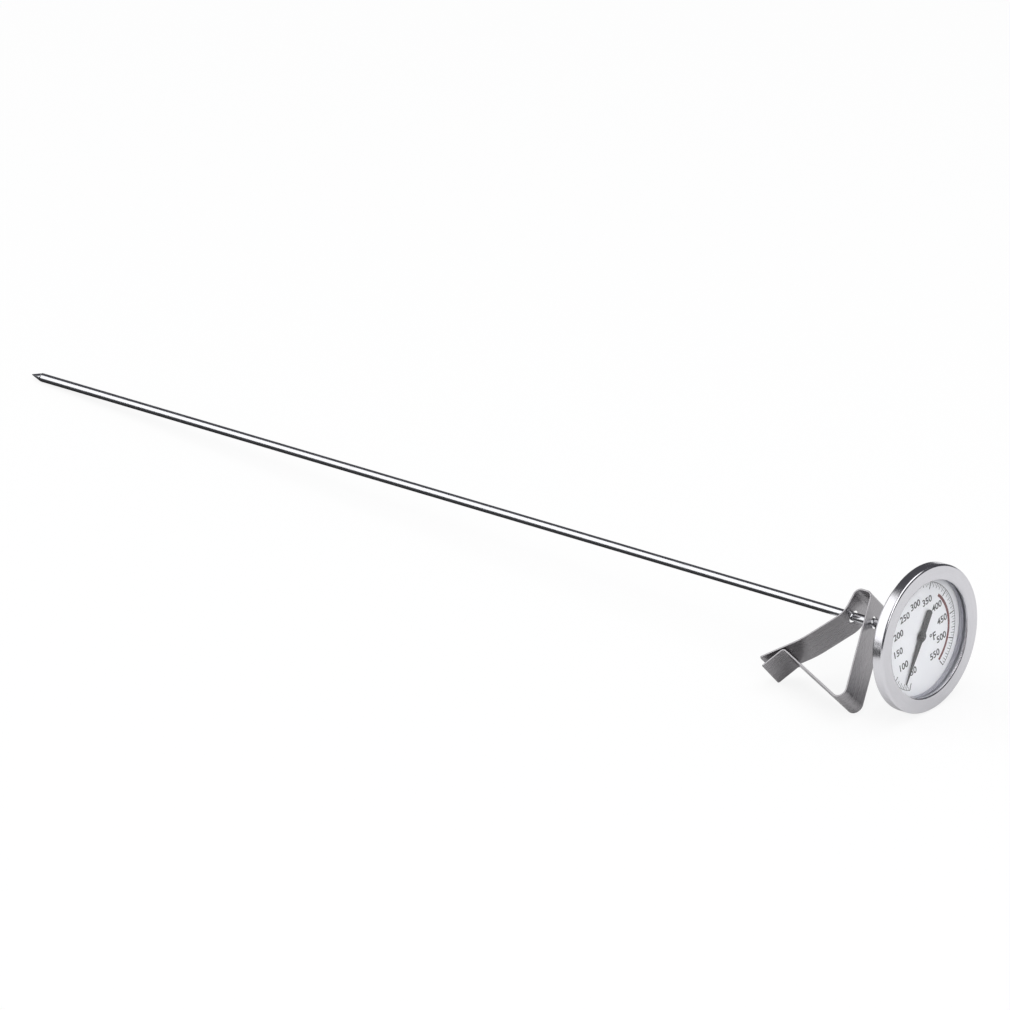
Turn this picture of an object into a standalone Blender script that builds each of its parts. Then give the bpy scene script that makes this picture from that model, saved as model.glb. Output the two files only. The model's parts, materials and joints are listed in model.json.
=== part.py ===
"""Bimetal dial thermometer: a thin round head, a long thin stem and a spring-steel vessel clip.

It lies at rest on its rim, the end of its stem and one edge of its clip. Each piece is made in the
instrument's own frame and carried by one empty, which tilts it to the resting pose:
    X runs along the stem, from the tip to the dial's front, and the bezel's front plane is X = 0
    Z points to twelve o'clock on the dial, and Y to three o'clock
"""

import math

import bmesh
import bpy
from mathutils import Matrix, Vector

MM = 0.001

# Driving dimensions: overall
OVERALL_LENGTH = 394.5 * MM
GAP = 0.3 * MM
FINE_GAP = 0.15 * MM

# Head, from the front to the back: radii
BEZEL_RADIUS = 25.85 * MM
WINDOW_RADIUS = 20.5 * MM
LENS_RADIUS = 24.9 * MM
DIAL_RADIUS = 22.9 * MM
CASE_WALL = 0.5 * MM
CASE_BACK_RADIUS = 19.0 * MM

# Head: thicknesses and depths along the stem axis
BEZEL_SHEET = 0.6 * MM
BEZEL_DEPTH = 4.2 * MM
BEZEL_EDGE = 0.6 * MM
BEZEL_CURL_EDGE = 0.3 * MM
BEZEL_CURL_SHEET = 0.45 * MM
WINDOW_LIP_FRONT = 0.36 * MM
WINDOW_LIP_BACK = 0.96 * MM
WINDOW_LIP_SLOPE = 0.42 * MM
GASKET_THICKNESS = 0.4 * MM
LENS_THICKNESS = 1.1 * MM
DIAL_THICKNESS = 0.4 * MM
DIAL_DEPTH = 4.9 * MM
CASE_DEPTH = 7.5 * MM
CASE_LEDGE = 2.4 * MM

# Stem and its tip
STEM_RADIUS = 1.5 * MM
STEM_BORE = 1.2 * MM
STEM_TOP = 6.2 * MM
TIP_LENGTH = 4.4 * MM
TIP_RADIUS = 0.15 * MM
SPIGOT_RADIUS = 0.95 * MM
SPIGOT_LENGTH = 4.5 * MM

# Hub: the sleeve that joins stem and case, and the nut behind the case
FERRULE_BORE = 1.75 * MM
FERRULE_RADIUS = 3.1 * MM
FERRULE_LENGTH = 4.2 * MM
FERRULE_FLANGE_RADIUS = 4.6 * MM
FERRULE_FLANGE = 0.4 * MM
WASHER_THICKNESS = 0.3 * MM
WASHER_RADIUS = 5.2 * MM
SEAL_THICKNESS = 0.3 * MM
SEAL_RADIUS = 4.4 * MM
NUT_ACROSS_FLATS = 9.5 * MM
NUT_LENGTH = 5.0 * MM
NUT_COUNTERBORE = 2.4 * MM
NUT_CHAMFER = 0.5 * MM
NUT_BORE_OVERSHOOT = 1.0 * MM

# Movement: helix, shaft and bushes inside the stem
SHAFT_RADIUS = 0.3 * MM
SHAFT_TOP = 3.0 * MM
BUSH_BORE = 0.5 * MM
BUSH_RADIUS = 1.0 * MM
GUIDE_LENGTH = 2.0 * MM
GUIDE_COUNT = 4
TOP_BEARING_LENGTH = 3.0 * MM
ANCHOR_LENGTH = 1.5 * MM
COLLAR_LENGTH = 1.5 * MM
COIL_INNER_RADIUS = 0.72 * MM
COIL_OUTER_RADIUS = 0.98 * MM
COIL_STRIP_WIDTH = 1.0 * MM
COIL_PITCH = 1.6 * MM
COIL_TURNS = 28

# Pointer: its angle is counted clockwise from twelve o'clock, seen from the front
POINTER_ANGLE = math.radians(213)
POINTER_LENGTH = 17.2 * MM
POINTER_TAIL = 9.5 * MM
POINTER_ROOT_WIDTH = 2.4 * MM
POINTER_TIP_WIDTH = 0.45 * MM
POINTER_TAIL_WIDTH = 3.0 * MM
POINTER_HUB_RADIUS = 2.2 * MM
POINTER_THICKNESS = 0.25 * MM
POINTER_DEPTH = 3.98 * MM
BOSS_BORE = 0.45 * MM
BOSS_RADIUS = 0.9 * MM
BOSS_FLANGE_RADIUS = 1.5 * MM
BOSS_FLANGE = 0.4 * MM
BOSS_LENGTH = 1.4 * MM

# Vessel clip: a strip bent along this line, measured from the upper leg's hole
CLIP_PLACE = 25.3 * MM
CLIP_WIDTH = 12.4 * MM
CLIP_THICKNESS = 0.6 * MM
CLIP_CORNER = 0.7 * MM
CLIP_HOLE_RADIUS = 2.2 * MM
CLIP_DRILL_LENGTH = 3.6 * MM
CLIP_BENDS = (
    # along the stem, away from it, radius of the bend, in millimetres
    (-30.2, 25.2, 0.0),   # end of the lower leg
    (-18.1, 14.8, 32.0),  # the lower leg's long curve
    (-7.4, 1.5, 8.0),     # by the lower leg's hole
    (-7.4, -8.0, 2.4),    # the loop on the stem's far side
    (-0.9, -8.0, 2.4),    # the loop on the stem's far side
    (9.5, 32.4, 2.8),     # the outer bend
    (-23.0, 20.0, 1.2),   # crest of the jaw, against the lower leg
    (-27.7, 28.0, 0.0),   # end of the finger tab
)

# Facets
RIM_SIDES = 72
SMALL_SIDES = 24
STEM_SIDES = 24
HEXAGON_SIDES = 6
COIL_SIDES = 8
EDGE_STEPS = 3
CURL_STEPS = 2
HUB_STEPS = 8
CORNER_STEPS = 4
BEND_STEP = math.radians(12)
SHARP_ANGLE = math.radians(35)
MERGE_DISTANCE = MM / 1000

# Finishes: colour, roughness, metallic
STEM_STEEL = ((0.62, 0.63, 0.66), 0.3, 1.0)
BEZEL_STEEL = ((0.64, 0.635, 0.66), 0.28, 1.0)
CASE_STEEL = ((0.6, 0.6, 0.62), 0.34, 1.0)
NUT_STEEL = ((0.58, 0.58, 0.6), 0.36, 1.0)
SPRING_STEEL = ((0.36, 0.35, 0.36), 0.3, 1.0)
SHAFT_STEEL = ((0.5, 0.5, 0.52), 0.3, 1.0)
BIMETAL = ((0.55, 0.45, 0.34), 0.4, 1.0)
BRASS = ((0.72, 0.58, 0.3), 0.35, 1.0)
SPACER_PLASTIC = ((0.35, 0.35, 0.39), 0.45, 0.0)
SEAL_RUBBER = ((0.06, 0.06, 0.06), 0.8, 0.0)
SEAL_SILICONE = ((0.28, 0.29, 0.315), 0.6, 0.0)
WINDOW_GLASS = ((0.85, 0.9, 0.92), 0.05, 0.0)
DIAL_PRINT = ((0.9, 0.905, 0.925), 0.4, 0.0)
POINTER_BLACK = ((0.03, 0.03, 0.03), 0.5, 0.0)


def clear_scene():
    """Removes whatever the scene starts with."""
    for thing in list(bpy.data.objects):
        bpy.data.objects.remove(thing, do_unlink=True)


def make_material(name, finish):
    """A plain material from a finish: a colour, a roughness and a metallic value."""
    colour, roughness, metallic = finish
    material = bpy.data.materials.new(name)
    material.use_nodes = True
    shader = material.node_tree.nodes["Principled BSDF"]
    shader.inputs["Base Color"].default_value = (*colour, 1.0)
    shader.inputs["Roughness"].default_value = roughness
    shader.inputs["Metallic"].default_value = metallic
    return material


def add_piece(name, bm, carrier, finish):
    """Turns a bmesh into a named object under the carrier, with its own material."""
    bmesh.ops.recalc_face_normals(bm, faces=bm.faces)
    mesh = bpy.data.meshes.new(name)
    bm.to_mesh(mesh)
    bm.free()
    mesh.shade_smooth()
    mesh.set_sharp_from_angle(angle=SHARP_ANGLE)
    mesh.materials.append(make_material(name, finish))
    piece = bpy.data.objects.new(name, mesh)
    bpy.context.scene.collection.objects.link(piece)
    piece.parent = carrier
    return piece


def add_cutter(name, bm, carrier):
    """A hidden piece that only shapes another one."""
    cutter = add_piece(name, bm, carrier, SHAFT_STEEL)
    cutter.hide_render = True
    cutter.display_type = "WIRE"
    return cutter


def apply_boolean(piece, cutter, operation):
    """Adds a Boolean modifier that cuts or trims the piece with the cutter."""
    boolean = piece.modifiers.new(cutter.name, "BOOLEAN")
    boolean.operation = operation
    boolean.solver = "EXACT"
    boolean.object = cutter


def turned(outline, sides):
    """A solid turned about the stem axis from a closed outline of (depth behind the front, radius)."""
    bm = bmesh.new()
    ring = [bm.verts.new((-depth, 0.0, -radius)) for depth, radius in outline]
    edges = []
    for start, end in zip(ring, ring[1:] + ring[:1]):
        on_axis = start.co.z == 0.0 and end.co.z == 0.0
        if not on_axis:
            edges.append(bm.edges.new((start, end)))
    bmesh.ops.spin(
        bm,
        geom=ring + edges,
        cent=(0.0, 0.0, 0.0),
        axis=(1.0, 0.0, 0.0),
        angle=math.tau,
        steps=sides,
        use_merge=True,
    )
    bmesh.ops.remove_doubles(bm, verts=bm.verts, dist=MERGE_DISTANCE)
    return bm


def tube(front, back, bore, radius, sides=SMALL_SIDES):
    """A plain ring or tube between two depths behind the front plane."""
    return turned([(front, bore), (front, radius), (back, radius), (back, bore)], sides)


def rod(front, back, radius, sides=SMALL_SIDES):
    """A plain solid rod between two depths behind the front plane."""
    return turned([(front, 0.0), (front, radius), (back, radius), (back, 0.0)], sides)


def quarter_arc(depth, radius, size, start, steps):
    """Points of a quarter circle about (depth, radius), from the start angle on, for rounded edges."""
    points = []
    for step in range(steps + 1):
        angle = start + math.pi / 2 * step / steps
        points.append((depth - size * math.cos(angle), radius + size * math.sin(angle)))
    return points


def bezel_ring(carrier):
    """The crimped ring: a flat front flange, a rounded side and a curl behind the case's flange."""
    inner = BEZEL_RADIUS - BEZEL_SHEET
    curl_inner = inner - BEZEL_SHEET
    curl_front = BEZEL_DEPTH - BEZEL_CURL_SHEET
    side = BEZEL_RADIUS - BEZEL_EDGE
    back_side = BEZEL_RADIUS - BEZEL_CURL_EDGE
    back_depth = BEZEL_DEPTH - BEZEL_CURL_EDGE
    outline = [(WINDOW_LIP_BACK, WINDOW_RADIUS), (WINDOW_LIP_FRONT, WINDOW_RADIUS)]
    outline += [(0.0, WINDOW_RADIUS + WINDOW_LIP_SLOPE)]
    outline += quarter_arc(BEZEL_EDGE, side, BEZEL_EDGE, 0.0, EDGE_STEPS)
    outline += quarter_arc(back_depth, back_side, BEZEL_CURL_EDGE, math.pi / 2, CURL_STEPS)
    outline += [(BEZEL_DEPTH, curl_inner), (curl_front, curl_inner)]
    outline += [(curl_front, inner), (BEZEL_SHEET, inner), (BEZEL_SHEET, WINDOW_RADIUS + BEZEL_SHEET)]
    add_piece("bezel_ring", turned(outline, RIM_SIDES), carrier, BEZEL_STEEL)


def window_stack(carrier):
    """Gasket, lens and spacer ring, laid one behind the other.

    Returns the depth of the lens's back, which the case's flange sits against.
    """
    gasket_front = BEZEL_SHEET + GAP
    gasket_back = gasket_front + GASKET_THICKNESS
    gasket = tube(gasket_front, gasket_back, WINDOW_RADIUS + BEZEL_SHEET, LENS_RADIUS, RIM_SIDES)
    add_piece("lens_gasket", gasket, carrier, SEAL_SILICONE)

    lens_front = gasket_back + GAP
    lens_back = lens_front + LENS_THICKNESS
    lens = rod(lens_front, lens_back, LENS_RADIUS, RIM_SIDES)
    add_piece("lens", lens, carrier, WINDOW_GLASS)

    spacer = tube(lens_back + GAP, DIAL_DEPTH - GAP, WINDOW_RADIUS + GAP, DIAL_RADIUS, RIM_SIDES)
    add_piece("dial_spacer_ring", spacer, carrier, SPACER_PLASTIC)
    return lens_back


def dial_plate(carrier):
    """The printed disc, with a hole for the pointer's boss and shaft."""
    plate = tube(DIAL_DEPTH, DIAL_DEPTH + DIAL_THICKNESS, BOSS_RADIUS + GAP, DIAL_RADIUS, RIM_SIDES)
    add_piece("dial_plate", plate, carrier, DIAL_PRINT)


def case_back(carrier, lens_back):
    """The pressed dish: a flange that the bezel clamps, a ledge for the dial and a flat back."""
    flange_front = lens_back + GAP
    flange_back = flange_front + CASE_WALL
    inner = DIAL_RADIUS + GAP
    outer = inner + CASE_WALL
    ledge = DIAL_DEPTH + DIAL_THICKNESS + GAP
    floor = CASE_DEPTH - CASE_WALL
    bore = FERRULE_RADIUS + GAP
    rim = BEZEL_RADIUS - BEZEL_SHEET - GAP
    outline = [(flange_front, rim), (flange_back, rim), (flange_back, outer)]
    outline += [(ledge + CASE_WALL / 2, outer), (ledge + CASE_WALL, outer - CASE_WALL / 2)]
    outline += [(ledge + CASE_WALL, inner - CASE_LEDGE), (CASE_DEPTH, CASE_BACK_RADIUS), (CASE_DEPTH, bore)]
    outline += [(floor, bore), (floor, CASE_BACK_RADIUS), (ledge, inner - CASE_LEDGE), (ledge, inner)]
    outline += [(flange_front, inner)]
    add_piece("case_back", turned(outline, RIM_SIDES), carrier, CASE_STEEL)


def hub(carrier):
    """Ferrule, friction washer, seal and hexagon nut, from the inside of the case to the outside."""
    floor = CASE_DEPTH - CASE_WALL
    washer_back = floor - FINE_GAP
    washer_front = washer_back - WASHER_THICKNESS
    flange_back = washer_front - FINE_GAP
    flange_front = flange_back - FERRULE_FLANGE
    outline = [(flange_front, FERRULE_BORE), (flange_front, FERRULE_FLANGE_RADIUS)]
    outline += [(flange_back, FERRULE_FLANGE_RADIUS), (flange_back, FERRULE_RADIUS)]
    sleeve_back = flange_front + FERRULE_LENGTH
    outline += [(sleeve_back, FERRULE_RADIUS), (sleeve_back, FERRULE_BORE)]
    add_piece("hub_ferrule", turned(outline, SMALL_SIDES), carrier, BRASS)

    washer = tube(washer_front, washer_back, FERRULE_RADIUS + GAP, WASHER_RADIUS)
    add_piece("friction_washer", washer, carrier, SPRING_STEEL)

    seal_front = CASE_DEPTH + FINE_GAP
    seal = tube(seal_front, seal_front + SEAL_THICKNESS, FERRULE_RADIUS + GAP, SEAL_RADIUS)
    add_piece("hub_seal", seal, carrier, SEAL_RUBBER)

    calibration_nut(carrier, seal_front + SEAL_THICKNESS + FINE_GAP)


def calibration_nut(carrier, front):
    """A hexagon with chamfered corners, bored for the stem and counterbored for the ferrule."""
    back = front + NUT_LENGTH
    corner = NUT_ACROSS_FLATS / math.sqrt(3)
    hexagon = rod(front, back, corner, HEXAGON_SIDES)
    nut = add_piece("calibration_nut", hexagon, carrier, NUT_STEEL)

    flat = corner - NUT_CHAMFER
    blank = turned(
        [
            (front - GAP, 0.0),
            (front - GAP, flat - GAP),
            (front + NUT_CHAMFER, corner + GAP),
            (back - NUT_CHAMFER, corner + GAP),
            (back + GAP, flat - GAP),
            (back + GAP, 0.0),
        ],
        SMALL_SIDES,
    )
    apply_boolean(nut, add_cutter("nut_chamfer_cutter", blank, carrier), "INTERSECT")

    step = front + NUT_COUNTERBORE
    bore = turned(
        [
            (front - NUT_BORE_OVERSHOOT, 0.0),
            (front - NUT_BORE_OVERSHOOT, FERRULE_RADIUS + GAP),
            (step, FERRULE_RADIUS + GAP),
            (step, FERRULE_BORE),
            (back + NUT_BORE_OVERSHOOT, FERRULE_BORE),
            (back + NUT_BORE_OVERSHOOT, 0.0),
        ],
        SMALL_SIDES,
    )
    apply_boolean(nut, add_cutter("nut_bore_cutter", bore, carrier), "DIFFERENCE")


def stem(carrier):
    """The stainless tube and the pointed plug that closes it.

    Returns the depth of the plug's upper end, inside the tube.
    """
    cone = OVERALL_LENGTH - TIP_LENGTH
    wall = tube(STEM_TOP, cone - GAP, STEM_BORE, STEM_RADIUS, STEM_SIDES)
    add_piece("stem_tube", wall, carrier, STEM_STEEL)

    plug_top = cone - SPIGOT_LENGTH
    outline = [(plug_top, 0.0), (plug_top, SPIGOT_RADIUS), (cone, SPIGOT_RADIUS)]
    outline += [(cone, STEM_RADIUS), (OVERALL_LENGTH, TIP_RADIUS), (OVERALL_LENGTH, 0.0)]
    add_piece("tip_plug", turned(outline, STEM_SIDES), carrier, STEM_STEEL)
    return plug_top


def helix_strip(start):
    """A flat strip wound into a helix from a depth behind the front plane towards the front."""
    bm = bmesh.new()
    half = COIL_STRIP_WIDTH / 2
    section = [(-half, COIL_INNER_RADIUS), (-half, COIL_OUTER_RADIUS)]
    section += [(half, COIL_OUTER_RADIUS), (half, COIL_INNER_RADIUS)]
    rings = []
    for step in range(COIL_TURNS * COIL_SIDES + 1):
        angle = math.tau * step / COIL_SIDES
        middle = -start + half + COIL_PITCH * step / COIL_SIDES
        ring = []
        for along, radius in section:
            corner = (middle + along, radius * math.cos(angle), radius * math.sin(angle))
            ring.append(bm.verts.new(corner))
        rings.append(ring)
    for ring, following in zip(rings, rings[1:]):
        for corner in range(len(section)):
            after = (corner + 1) % len(section)
            bm.faces.new((ring[corner], ring[after], following[after], following[corner]))
    bm.faces.new(rings[0])
    bm.faces.new(rings[-1])
    return bm


def movement(carrier, plug_top):
    """Anchor, helix, collar, shaft and the bushes that guide the shaft up the stem."""
    anchor_back = plug_top - GAP
    anchor_front = anchor_back - ANCHOR_LENGTH
    anchor = rod(anchor_front, anchor_back, SPIGOT_RADIUS, STEM_SIDES)
    add_piece("coil_anchor", anchor, carrier, BRASS)

    coil_back = anchor_front - GAP
    coil_front = coil_back - COIL_TURNS * COIL_PITCH - COIL_STRIP_WIDTH
    add_piece("bimetal_coil", helix_strip(coil_back), carrier, BIMETAL)

    collar_back = coil_front - GAP
    collar_front = collar_back - COLLAR_LENGTH
    collar = tube(collar_front, collar_back, BOSS_BORE, BUSH_RADIUS)
    add_piece("coil_collar", collar, carrier, BRASS)
    add_piece("pointer_shaft", rod(SHAFT_TOP, coil_front, SHAFT_RADIUS), carrier, SHAFT_STEEL)

    bearing_front = STEM_TOP + FINE_GAP
    bearing = tube(bearing_front, bearing_front + TOP_BEARING_LENGTH, BUSH_BORE, BUSH_RADIUS)
    add_piece("top_bearing", bearing, carrier, BRASS)
    for number in range(1, GUIDE_COUNT + 1):
        place = bearing_front + (collar_front - bearing_front) * number / (GUIDE_COUNT + 1)
        guide = tube(place, place + GUIDE_LENGTH, BUSH_BORE, BUSH_RADIUS)
        add_piece(f"shaft_guide_{number}", guide, carrier, BRASS)


def pointer_outline():
    """The hand's outline in its own plane, as (across, towards the tip): blade, hub and tail."""
    points = [(POINTER_TIP_WIDTH / 2, POINTER_LENGTH), (-POINTER_TIP_WIDTH / 2, POINTER_LENGTH)]
    blade = math.asin(POINTER_ROOT_WIDTH / 2 / POINTER_HUB_RADIUS)
    tail = math.asin(POINTER_TAIL_WIDTH / 2 / POINTER_HUB_RADIUS)
    arc = [blade + (math.pi - tail - blade) * step / HUB_STEPS for step in range(HUB_STEPS + 1)]
    hub_side = [(POINTER_HUB_RADIUS * math.sin(a), POINTER_HUB_RADIUS * math.cos(a)) for a in arc]
    points += [(-across, along) for across, along in hub_side]
    points += [(-POINTER_TAIL_WIDTH / 2, -POINTER_TAIL), (POINTER_TAIL_WIDTH / 2, -POINTER_TAIL)]
    points += hub_side[::-1]
    return points


def add_loop(bm, points, depth):
    """A closed loop of edges in a plane across the stem axis."""
    ring = [bm.verts.new((-depth, across, up)) for across, up in points]
    return [bm.edges.new((start, end)) for start, end in zip(ring, ring[1:] + ring[:1])]


def pointer(carrier):
    """The flat hand, with a hole for its boss, and the boss that holds it on the shaft."""
    bm = bmesh.new()
    back = POINTER_DEPTH + POINTER_THICKNESS
    hole_radius = BOSS_RADIUS + GAP
    hole = []
    for step in range(SMALL_SIDES):
        angle = math.tau * step / SMALL_SIDES
        hole.append((hole_radius * math.cos(angle), hole_radius * math.sin(angle)))
    edges = add_loop(bm, pointer_outline(), back) + add_loop(bm, hole, back)
    bmesh.ops.triangle_fill(bm, edges=edges, use_beauty=True, use_dissolve=False)
    grown = bmesh.ops.extrude_face_region(bm, geom=bm.faces[:])
    moved = [item for item in grown["geom"] if isinstance(item, bmesh.types.BMVert)]
    bmesh.ops.translate(bm, verts=moved, vec=(POINTER_THICKNESS, 0.0, 0.0))
    hand = add_piece("pointer", bm, carrier, POINTER_BLACK)
    hand.rotation_euler = (-POINTER_ANGLE, 0.0, 0.0)

    front = POINTER_DEPTH - GAP - BOSS_FLANGE
    step = front + BOSS_FLANGE
    back = front + BOSS_LENGTH
    outline = [(front, BOSS_BORE), (front, BOSS_FLANGE_RADIUS), (step, BOSS_FLANGE_RADIUS)]
    outline += [(step, BOSS_RADIUS), (back, BOSS_RADIUS), (back, BOSS_BORE)]
    add_piece("pointer_boss", turned(outline, SMALL_SIDES), carrier, POINTER_BLACK)


def clip_line():
    """The bent strip's centre line in (along the stem, away from it), with an arc at each bend."""
    bends = [(Vector((along, away)) * MM, radius * MM) for along, away, radius in CLIP_BENDS]
    points = [bends[0][0]]
    for (before, _), (corner, radius), (after, _) in zip(bends, bends[1:], bends[2:]):
        inward = (before - corner).normalized()
        outward = (after - corner).normalized()
        half = inward.angle(outward) / 2
        centre = corner + (inward + outward).normalized() * radius / math.sin(half)
        start = corner + inward * radius / math.tan(half) - centre
        sweep = (math.pi - 2 * half) * (1 if inward.cross(outward) < 0 else -1)
        steps = max(2, math.ceil(abs(sweep) / BEND_STEP))
        for step in range(steps + 1):
            points.append(centre + Matrix.Rotation(sweep * step / steps, 2) @ start)
    points.append(bends[-1][0])
    return points


def rounded_ends(line):
    """Pairs of a point on the strip's line and half its width there, with both ends rounded."""
    full = CLIP_WIDTH / 2
    stations = []
    for end, neighbour in ((line[0], line[1]), (line[-1], line[-2])):
        heading = (neighbour - end).normalized()
        corner = []
        for step in range(CORNER_STEPS + 1):
            angle = math.pi / 2 * step / CORNER_STEPS
            reach = CLIP_CORNER * (1 - math.cos(angle))
            half_width = full - CLIP_CORNER + CLIP_CORNER * math.sin(angle)
            corner.append((end + heading * reach, half_width))
        stations.append(corner)
    middle = [(point, full) for point in line[1:-1]]
    return stations[0] + middle + stations[1][::-1]


def stem_crossings(line):
    """Where the strip's line crosses the stem axis, each with the direction of the strip there."""
    crossings = []
    for start, end in zip(line, line[1:]):
        if start.y * end.y < 0:
            share = start.y / (start.y - end.y)
            crossings.append((start.lerp(end, share), (end - start).normalized()))
    return crossings


def clip_roll(line, axis_height):
    """How far the clip is turned about the stem, so that its outer bend's edge touches the ground."""
    reach = max(point.y for point in line) + CLIP_THICKNESS / 2
    half = CLIP_WIDTH / 2
    return math.atan2(half, reach) + math.acos(axis_height / math.hypot(reach, half))


def vessel_clip(carrier, line, roll):
    """The one-piece clip: two legs with holes for the stem, a loop between them and a sprung jaw."""
    pose = bpy.data.objects.new("clip_pose", None)
    bpy.context.scene.collection.objects.link(pose)
    pose.parent = carrier
    pose.location = (-CLIP_PLACE, 0.0, 0.0)
    pose.rotation_euler = (-roll, 0.0, 0.0)

    bm = bmesh.new()
    rows = []
    for point, half_width in rounded_ends(line):
        edge = [bm.verts.new((point.x, side * half_width, -point.y)) for side in (-1, 1)]
        rows.append(edge)
    for row, following in zip(rows, rows[1:]):
        bm.faces.new((row[0], row[1], following[1], following[0]))
    clip = add_piece("vessel_clip", bm, pose, SPRING_STEEL)
    solid = clip.modifiers.new("thickness", "SOLIDIFY")
    solid.thickness = CLIP_THICKNESS
    solid.offset = 0.0
    solid.use_even_offset = True

    for number, (place, heading) in enumerate(stem_crossings(line), 1):
        drill = bmesh.new()
        across = Vector((heading.y, 0.0, heading.x)).to_track_quat("Z", "Y").to_matrix().to_4x4()
        bmesh.ops.create_cone(
            drill,
            cap_ends=True,
            segments=SMALL_SIDES,
            radius1=CLIP_HOLE_RADIUS,
            radius2=CLIP_HOLE_RADIUS,
            depth=CLIP_DRILL_LENGTH,
            matrix=Matrix.Translation((place.x, 0.0, -place.y)) @ across,
        )
        apply_boolean(clip, add_cutter(f"stem_hole_cutter_{number}", drill, pose), "DIFFERENCE")


def resting_tilt():
    """How far the stem rises from tip to dial, lying on the bezel's back edge and the foot of the tip."""
    side_end = BEZEL_DEPTH - BEZEL_CURL_EDGE
    cone = OVERALL_LENGTH - TIP_LENGTH
    return math.atan2(BEZEL_RADIUS - STEM_RADIUS, cone - side_end)


def axis_height(tilt, depth):
    """Height of the stem axis above the ground, at a depth behind the bezel's front plane."""
    side_end = BEZEL_DEPTH - BEZEL_CURL_EDGE
    return BEZEL_RADIUS * math.cos(tilt) + (side_end - depth) * math.sin(tilt)


def build():
    """Builds every piece and lays the instrument down, centred over the origin."""
    clear_scene()
    tilt = resting_tilt()
    line = clip_line()
    bend = max(line, key=lambda point: point.y)
    roll = clip_roll(line, axis_height(tilt, CLIP_PLACE - bend.x) / math.cos(tilt))
    clip_side = bend.y * math.sin(roll) + CLIP_WIDTH / 2 * math.cos(roll)
    front_edge = (BEZEL_RADIUS - BEZEL_EDGE) * math.sin(tilt)

    carrier = bpy.data.objects.new("instrument", None)
    bpy.context.scene.collection.objects.link(carrier)
    carrier.rotation_euler = (0.0, -tilt, 0.0)
    carrier.location = (
        (OVERALL_LENGTH * math.cos(tilt) - front_edge) / 2,
        (clip_side - BEZEL_RADIUS) / 2,
        axis_height(tilt, 0.0),
    )

    bezel_ring(carrier)
    lens_back = window_stack(carrier)
    dial_plate(carrier)
    case_back(carrier, lens_back)
    hub(carrier)
    plug_top = stem(carrier)
    movement(carrier, plug_top)
    pointer(carrier)
    vessel_clip(carrier, line, roll)


build()
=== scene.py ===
"""A dial thermometer with a long stem and a vessel clip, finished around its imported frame.

Every sub-assembly is a class that builds its own meshes and dresses them. Pieces are made in the
instrument's own directions and then laid down where the frame says the instrument lies:
    X runs along the stem, from the tip to the dial's front, and the bezel's front plane is X = 0
    Z points to twelve o'clock on the dial, and Y to three o'clock
"""

import json
import logging
import math
from dataclasses import dataclass
from enum import Enum
from typing import Iterable, Optional, Sequence

import bmesh
import bpy
from mathutils import Matrix, Vector


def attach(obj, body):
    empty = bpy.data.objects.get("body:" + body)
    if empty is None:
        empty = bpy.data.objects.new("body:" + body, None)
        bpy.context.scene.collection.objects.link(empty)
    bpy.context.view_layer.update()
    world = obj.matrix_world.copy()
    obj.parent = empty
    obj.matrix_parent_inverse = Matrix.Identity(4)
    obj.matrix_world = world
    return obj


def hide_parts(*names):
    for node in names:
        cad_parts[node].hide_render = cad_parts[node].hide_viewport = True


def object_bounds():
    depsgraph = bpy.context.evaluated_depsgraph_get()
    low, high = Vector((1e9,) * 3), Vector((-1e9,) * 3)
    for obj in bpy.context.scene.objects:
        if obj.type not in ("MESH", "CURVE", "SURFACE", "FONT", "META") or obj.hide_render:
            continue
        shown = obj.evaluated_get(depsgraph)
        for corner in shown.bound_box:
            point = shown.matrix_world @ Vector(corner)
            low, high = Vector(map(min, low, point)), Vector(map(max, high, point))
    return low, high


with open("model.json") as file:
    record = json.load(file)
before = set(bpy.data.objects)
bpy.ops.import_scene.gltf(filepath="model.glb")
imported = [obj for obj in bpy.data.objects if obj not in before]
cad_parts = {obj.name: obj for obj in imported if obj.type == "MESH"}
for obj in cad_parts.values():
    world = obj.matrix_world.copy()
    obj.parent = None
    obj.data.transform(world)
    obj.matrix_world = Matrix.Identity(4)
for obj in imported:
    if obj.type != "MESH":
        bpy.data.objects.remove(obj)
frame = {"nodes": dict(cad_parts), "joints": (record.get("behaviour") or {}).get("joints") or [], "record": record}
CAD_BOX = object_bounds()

LOG = logging.getLogger("dial_thermometer")

MM = 0.001
Colour = tuple[float, float, float]
Point2 = tuple[float, float]


# ----------------------------------------
# Where the instrument lies
# ----------------------------------------


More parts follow.
